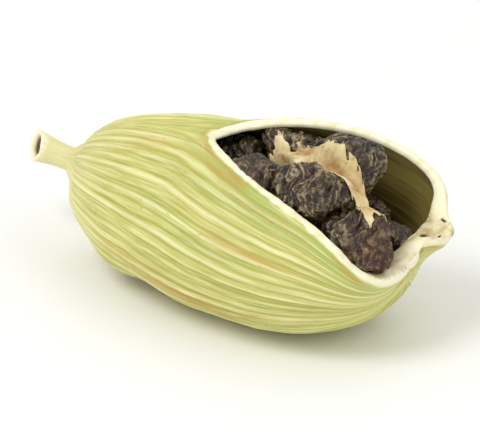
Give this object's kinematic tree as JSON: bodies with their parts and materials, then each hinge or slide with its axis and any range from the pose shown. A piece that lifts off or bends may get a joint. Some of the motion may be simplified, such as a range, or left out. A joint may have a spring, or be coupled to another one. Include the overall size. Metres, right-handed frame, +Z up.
{
  "type": "green cardamom pod",
  "caption": "Dried green cardamom pod with a ribbed papery husk, split open along one seam from its middle to its tip so that the dark wrinkled seeds inside show.",
  "frame": {"origin": "on the resting surface, under the middle of the pod's bounding box", "axes": "+X along the pod from the cut stalk to the tip, +Z up with the split mouth on the upper side, -Y the side of the whole front valve"},
  "size_m": [0.0194, 0.0086, 0.0077],
  "materials": {
    "husk": "dry, fibrous and matt, pale green with straw-coloured ribs",
    "seed": "wrinkled, dark brown with a dull sheen",
    "seed_skin": "thin, dry and matt, pale tan"
  },
  "bodies": {
    "root": {"husk": "husk", "seed_stalk_end_top": "seed", "seed_stalk_end_back": "seed", "seed_stalk_end_front": "seed", "seed_upper_front_1": "seed", "seed_upper_back_1": "seed", "seed_back_1": "seed", "seed_lower_back_1": "seed", "seed_lower_front_1": "seed", "seed_front_1": "seed", "seed_upper_front_2": "seed", "seed_upper_back_2": "seed", "seed_back_2": "seed", "seed_lower_back_2": "seed", "seed_lower_front_2": "seed", "seed_front_2": "seed", "seed_upper_front_3": "seed", "seed_upper_back_3": "seed", "seed_back_3": "seed", "seed_lower_back_3": "seed", "seed_lower_front_3": "seed", "seed_front_3": "seed", "seed_upper_front_4": "seed", "seed_upper_back_4": "seed", "seed_back_4": "seed", "seed_lower_back_4": "seed", "seed_lower_front_4": "seed", "seed_front_4": "seed", "seed_tip_top": "seed", "seed_tip_back": "seed", "seed_tip_front": "seed", "seed_skin": "seed_skin"}
  },
  "joints": []
}
